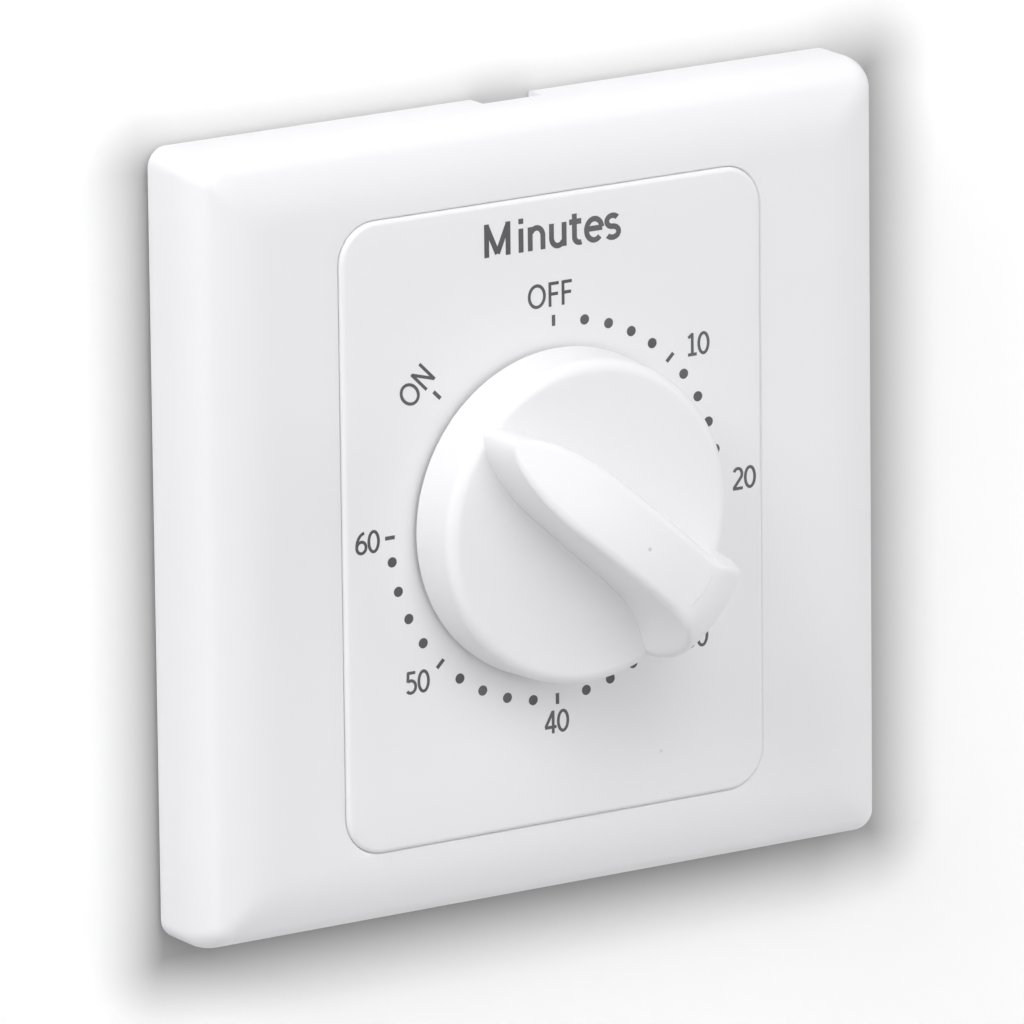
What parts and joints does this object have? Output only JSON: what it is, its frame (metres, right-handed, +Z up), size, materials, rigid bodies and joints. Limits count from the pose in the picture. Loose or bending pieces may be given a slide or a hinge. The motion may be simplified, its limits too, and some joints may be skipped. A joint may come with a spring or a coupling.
{
  "type": "timer light switch",
  "caption": "Square white wall switch with a raised dial panel and a round finger-grip knob that winds a clockwork countdown timer and its switch contacts behind the wall.",
  "frame": {"origin": "centre of the face plate on the wall plane, which is the plane of the frame's rear rim", "axes": "+Y into the wall, -Y towards the room, +Z up, +X to the right seen from the room"},
  "size_m": [0.086, 0.0596, 0.086],
  "materials": {
    "white_gloss": "glossy moulded white plastic",
    "grey_plastic": "satin moulded light grey plastic",
    "nylon": "natural nylon",
    "steel": "bright zinc-plated steel",
    "spring_steel": "blued spring steel",
    "brass": "turned brass",
    "bronze": "rolled phosphor bronze strip",
    "silver": "polished silver contact",
    "fibre": "pressed insulating card"
  },
  "bodies": {
    "case": {"front_frame": "white_gloss", "dial_panel": "white_gloss", "base_plate": "grey_plastic", "rear_housing": "grey_plastic", "housing_screws": "steel", "movement_screws": "steel", "front_bush": "brass", "movement_front_plate": "steel", "movement_back_plate": "steel", "pillars": "steel", "mainspring": "spring_steel", "spring_post": "steel", "insulating_sheet": "fibre", "moving_contact": "bronze", "fixed_contact": "bronze", "moving_tip": "silver", "fixed_tip": "silver", "terminal_block": "nylon", "terminal_clamps": "brass", "terminal_screws": "steel"},
    "knob_shaft": {"knob": "white_gloss", "knob_clip": "spring_steel", "main_arbor": "steel", "stop_arm": "steel", "ratchet_wheel": "steel", "click": "steel", "click_rivet": "brass", "click_spring": "spring_steel", "great_wheel": "nylon", "arbor_clip": "steel", "switch_cam": "nylon"},
    "second_train": {"second_wheel": "nylon", "second_arbor": "steel"},
    "third_train": {"third_wheel": "nylon", "third_arbor": "steel"},
    "escape_train": {"escape_wheel": "nylon", "escape_arbor": "steel"},
    "pallet": {"pallet_lever": "steel", "pallet_arbor": "steel", "balance_wheel": "brass"}
  },
  "joints": [
    {"name": "knob_turn", "type": "hinge", "parent": "case", "child": "knob_shaft", "pos_m": [0, 0, 0], "axis": [0, 1, 0], "range_deg": [0, 315]},
    {"name": "second_spin", "type": "hinge", "parent": "case", "child": "second_train", "pos_m": [-0.01022, 0.008, 0.01022], "axis": [0, 1, 0], "continuous": true},
    {"name": "third_spin", "type": "hinge", "parent": "case", "child": "third_train", "pos_m": [-0.01349, 0.008, -0.00138], "axis": [0, 1, 0], "continuous": true},
    {"name": "escape_spin", "type": "hinge", "parent": "case", "child": "escape_train", "pos_m": [-0.00816, 0.008, -0.01083], "axis": [0, 1, 0], "continuous": true},
    {"name": "pallet_swing", "type": "hinge", "parent": "case", "child": "pallet", "pos_m": [-0.00456, 0.008, -0.01707], "axis": [0, 1, 0], "range_deg": [-4, 4]}
  ],
  "couplings": [
    {"joint": "second_spin", "follows": "knob_turn", "ratio": -5},
    {"joint": "third_spin", "follows": "knob_turn", "ratio": 20},
    {"joint": "escape_spin", "follows": "knob_turn", "ratio": -70}
  ]
}
